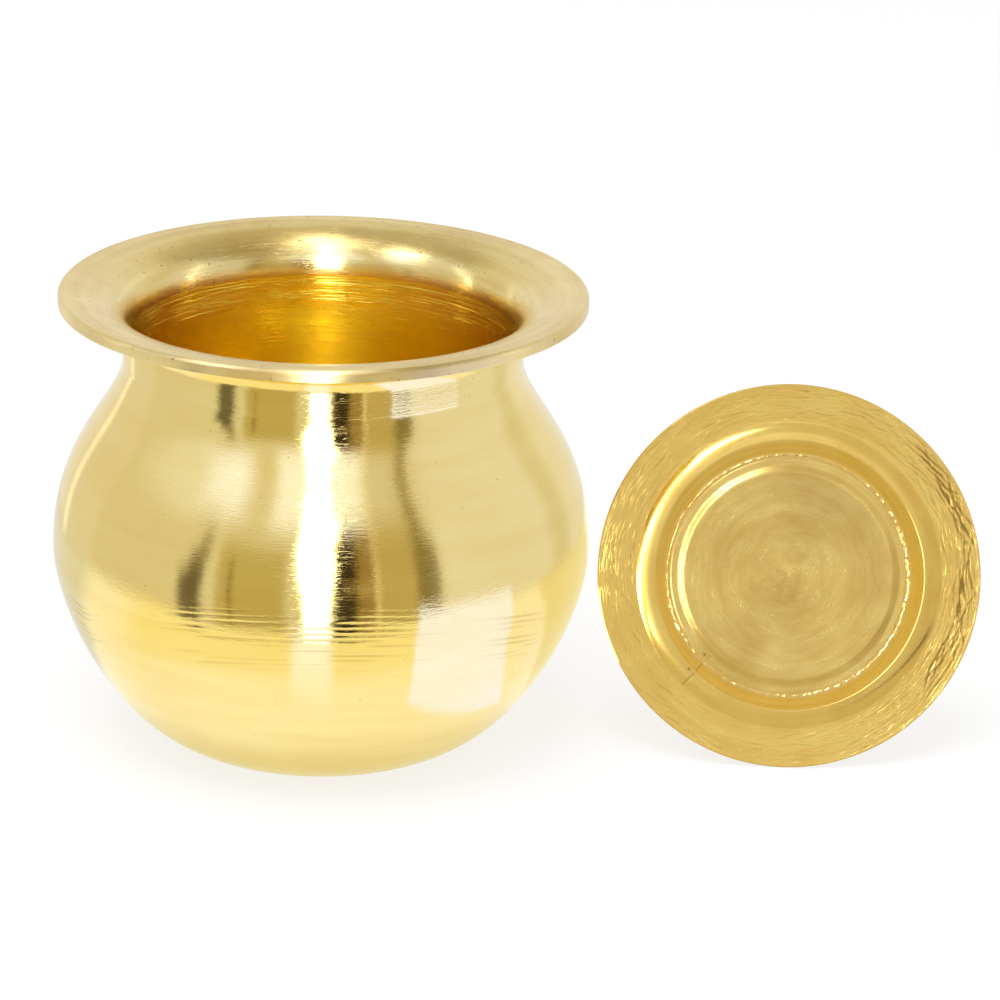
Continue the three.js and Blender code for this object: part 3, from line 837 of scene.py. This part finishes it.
# The room that the metal mirrors on the camera's side: a dome of plain tones, unseen by the
# camera. Each entry is (azimuth from, to, softness, elevation from, to, softness, colour,
# strength); azimuth 0 looks out over the camera and grows to the right.
roomTone = (0.80, 0.78, 0.68)
roomCards = [
    (-200, 200, 20, 38, 140, 22, (0.84, 0.80, 0.68), 0.9),      # ceiling
    (-200, -139, 8, -60, 34, 16, (0.92, 0.91, 0.88), 0.9),      # white paper behind
    (130, 200, 12, -60, 34, 16, (0.92, 0.92, 0.92), 0.9),
    (-104, -58, 10, 26, 60, 14, (0.96, 1.0, 1.15), 0.8),
    (-136, -107, 5, -60, 30, 12, (0.85, 0.83, 0.79), 0.9),
    (-139, -134, 3, -60, 24, 8, (1.22, 1.22, 1.20), 0.9),
    (54, 115, 10, -60, 50, 16, (0.90, 0.92, 1.02), 0.9),        # pale wall on the right
    (-41, -12, 5, -60, 24, 16, (0.56, 0.47, 0.19), 0.9),        # wooden panel, left of the lamp
    (18, 28, 2, -60, 35, 2, (0.55, 0.47, 0.28), 0.8),
    (8, 18, 2, -60, 34, 2, (0.05, 0.04, 0.025), 1.0),       # dark stand beside the camera
    (17, 26, 2, -60, 35, 2, (0.34, 0.24, 0.08), 0.9),
    (11, 26, 2, 2, 5, 2, (0.75, 0.62, 0.36), 0.7),
    (24.6, 26.4, 1, -60, 44, 2, (1.15, 1.05, 0.80), 0.8),
    (26.4, 48, 4, -60, 36, 24, (0.54, 0.44, 0.17), 0.85),
    (28, 44, 8, 38, 60, 14, (0.78, 0.78, 0.72), 0.8),
    (42, 52, 4, -60, 24, 16, (0.22, 0.18, 0.08), 0.8),         # dark flag, right
    (44, 50, 3, 16, 62, 20, (0.30, 0.25, 0.11), 0.75),
    (-58, -48, 5, -60, 4, 14, (0.12, 0.09, 0.04), 0.9),        # dark flag, left, narrow at its top
    (-54, -47, 4, -2, 14, 10, (0.14, 0.11, 0.05), 0.85),
    (-51, -46, 3, 10, 25, 12, (0.30, 0.25, 0.11), 0.7),
    (-36, -34.2, 1.4, -16, 14, 8, (0.25, 0.18, 0.06), 0.8),
    (48, 150, 16, 46, 78, 10, (0.42, 0.38, 0.25), 0.85),       # dark ceiling on the right
    (-200, -104, 16, 44, 78, 10, (0.50, 0.46, 0.34), 0.85),
    (150, 200, 16, 44, 78, 10, (0.60, 0.56, 0.44), 0.8),
    (-62, -38, 14, 34, 56, 14, (1.25, 1.40, 2.2), 0.85),
    (-23, 24, 9, 34, 140, 14, (1.25, 1.38, 2.0), 0.8),         # light over the camera
    (-200, 200, 20, 78, 140, 8, (1.5, 1.45, 1.3), 0.7),
    (-88, -56, 4, 55, 68, 5, (6.5, 6.4, 6.2), 0.9),            # lamp high on the left
]
# The table is painted the same way, by azimuth and by distance from the pot's middle in mm.
tableTone = (1.12, 1.14, 1.12)
tableCards = [
    (-70, 70, 20, 95, 300, 40, (1.10, 1.05, 0.66), 0.9),       # warm light off the room
    (-200, 200, 1, -10, 52, 22, (0.86, 0.80, 0.52), 0.9),      # shade of the belly
    (-200, -98, 16, 60, 300, 30, (0.80, 0.82, 0.82), 0.9),
    (93, 140, 6, 60, 300, 30, (0.96, 0.92, 0.60), 0.9),
    (-7, 6, 4, 88, 400, 50, (1.25, 1.40, 2.2), 0.8),           # mirror image of the strip
]


def paint(base, cards, across, up):
    tone = np.ones(across.shape + (3,)) * np.array(base)
    for a0, a1, softA, e0, e1, softE, colour, strength in cards:
        cover = strength * smoothBand(across, a0, a1, softA) * smoothBand(up, e0, e1, softE)
        tone = tone * (1 - cover[..., None]) + np.array(colour) * cover[..., None]
    return tone


def makeTable(name, base, cards, beyond, height):
    # a white table top as the metal sees it, which ends nearer in front than at the sides
    azimuth, share = np.meshgrid(np.arange(-180, 180.01, 1), np.linspace(0, 1, 90))
    front = smoothBand(azimuth, -52, 12, 26)
    reach = studio["tableRadius"] * (1 - front) + studio["tableFront"] * front
    radius = share * (reach + studio["tableEdge"])
    a = np.radians(azimuth)
    coords = np.stack([radius * np.sin(a), -radius * np.cos(a), 0 * a + height], -1)
    tones = paint(base, cards, azimuth, radius)
    rim = np.clip((reach + studio["tableEdge"] - radius) / (2 * studio["tableEdge"]), 0, 1)[..., None]
    return lightSheet(name, coords, tones * rim + np.array(beyond) * 0.75 * (1 - rim))


def makeRoom(name, base, cards, low, far):
    az, el = np.meshgrid(np.arange(-180, 180.01, 0.5), np.arange(low, 90.01, 0.5))
    return lightSheet(name, polar(az, el, far), paint(base, cards, az, el))


def lightOnly(sheet, pieces, clear=True):
    # lights only these pieces; a clear sheet also shows what lies behind it
    if clear:
        tree = sheet.data.materials[0].node_tree
        glow, through = tree.nodes["Emission"], addNode(tree, "ShaderNodeBsdfTransparent")
        both = addNode(tree, "ShaderNodeAddShader", {}, {0: glow.outputs[0], 1: through.outputs[0]})
        tree.links.new(both.outputs[0], tree.nodes["Material Output"].inputs["Surface"])
    group = bpy.data.collections.new(sheet.name + " lights")
    for piece in pieces:
        group.objects.link(piece)
    sheet.light_linking.receiver_collection = group


# The picture joins two shots, so the pot and the lid each have a room and a lamp of their own.
potPieces = [lowerBowl, bellySeam, shoulder, neckSeam, mouth]
lidPieces = [lidBrim, lidBead, lidPan]
lidRoomTone = (0.76, 0.71, 0.60)
lidTableTone = (0.72, 0.64, 0.46)
lidRoomCards = [
    (-80, 70, 30, 27, 56, 14, (1.02, 0.97, 0.92), 0.9),     # soft light over the camera
    (30, 200, 24, -40, 60, 20, (0.70, 0.62, 0.45), 0.85),   # darker to the right
    (90, 200, 20, -90, 60, 20, (0.80, 0.68, 0.42), 0.8),
    (-200, -110, 20, -90, 60, 20, (0.80, 0.70, 0.50), 0.8),
    (-96, -24, 24, -34, 82, 34, (1.5, 1.46, 1.38), 0.8),    # round the lamp on the left
    (-80, -40, 12, -22, 82, 24, (10.0, 9.9, 9.7), 0.95),    # lamp on the left
]
lightOnly(makeTable("table", tableTone, tableCards, roomTone, studio["tableHeight"]),
          potPieces, clear=False)
lightOnly(makeRoom("room", roomTone, roomCards, studio["roomLow"], studio["roomRadius"]),
          potPieces, clear=False)
lightOnly(makeTable("lid table", lidTableTone, [], lidTableTone, studio["lidTableHeight"]), lidPieces)
lightOnly(makeRoom("lid room", lidRoomTone, lidRoomCards, studio["roomLow"],
                   studio["roomRadius"] - 40), lidPieces)
# a cool card on the table, mirrored on the right of the belly and under the lip
cardCorners = np.array([[(x, y, studio["cardHeight"]) for x, y in side] for side in (
    ((240, -290), (86, -126), (37, -62)), ((330, -58), (91, -34), (59, -18)))], float)
lightOnly(lightSheet("cool card", cardCorners, np.ones((2, 3, 3)) * np.array((1.12, 1.25, 2.1))),
          potPieces, clear=False)


def stripLight(name, outline, level, lights):
    # a tall lamp whose outline is (elevation, azimuth left, azimuth right) from its foot up
    rows = np.array(outline, float)
    elevation = np.arange(rows[0, 0], rows[-1, 0] + 0.01, 1.0)
    left = np.interp(elevation, rows[:, 0], rows[:, 1])
    right = np.interp(elevation, rows[:, 0], rows[:, 2])
    share = np.linspace(0, 1, 5)[None, :]
    azimuth = left[:, None] * (1 - share) + right[:, None] * share
    coords = polar(azimuth, elevation[:, None] + 0 * share, studio["lampRadius"])
    lightOnly(lightSheet(name, coords, np.ones(coords.shape) * level), lights)


stripLight("pot strip", [(-22, -4, 5.5), (2, -4.5, 6), (8, -6.5, 7.5), (24, -7.5, 7.5), (30, -7, 8),
                         (34, -7, 12), (38, -6, 7), (46, -5, 5.5), (50, -4.5, 5)], 6.0, potPieces)
# over the top of it, only the mouth and the inside mirror these
stripLight("high strip", [(50, -2.5, 3.5), (80, -6, 8), (87, -16, 20)], 5.0, potPieces)
stripLight("top lamp", [(78, -180, 180), (90, -180, 180)], 1.8, potPieces)
stripLight("back strip", [(70, 172, 188), (84, 156, 204)], 2.5, [mouth])
# the lid's lamp again, where the pot would stand in its way
nearCoords = np.array([[(68.6, -7, z), (68.6, -11, z), (68.4, -15, z)]
                       for z in (20, 45, 75, 112)], float)
lightOnly(lightSheet("near lamp", nearCoords, np.ones(nearCoords.shape) * 4.5), lidPieces)
stripLight("throat strip right", [(0, 89, 92), (40, 89, 92)], 2.6, [mouth])
stripLight("throat strip left", [(0, -96, -93), (42, -96, -93)], 2.6, [mouth])
for piece in lidPieces:
    piece.visible_glossy = False   # so that the pot doesn't mirror a lid from another shot

overhead = bpy.data.lights.new("overhead", "AREA")
overhead.shape, overhead.size, overhead.size_y, overhead.energy = "RECTANGLE", 0.9, 0.9, 14
overheadObject = bpy.data.objects.new("overhead", overhead)
scene.collection.objects.link(overheadObject)
overheadObject.matrix_world = (Matrix.Translation((-0.2, -0.5, 1.5)) @ Matrix.Rotation(0.3, 4, "X")
                               @ Matrix.Rotation(-0.13, 4, "Y"))
overheadObject.visible_camera = overheadObject.visible_glossy = False
print("studio made")
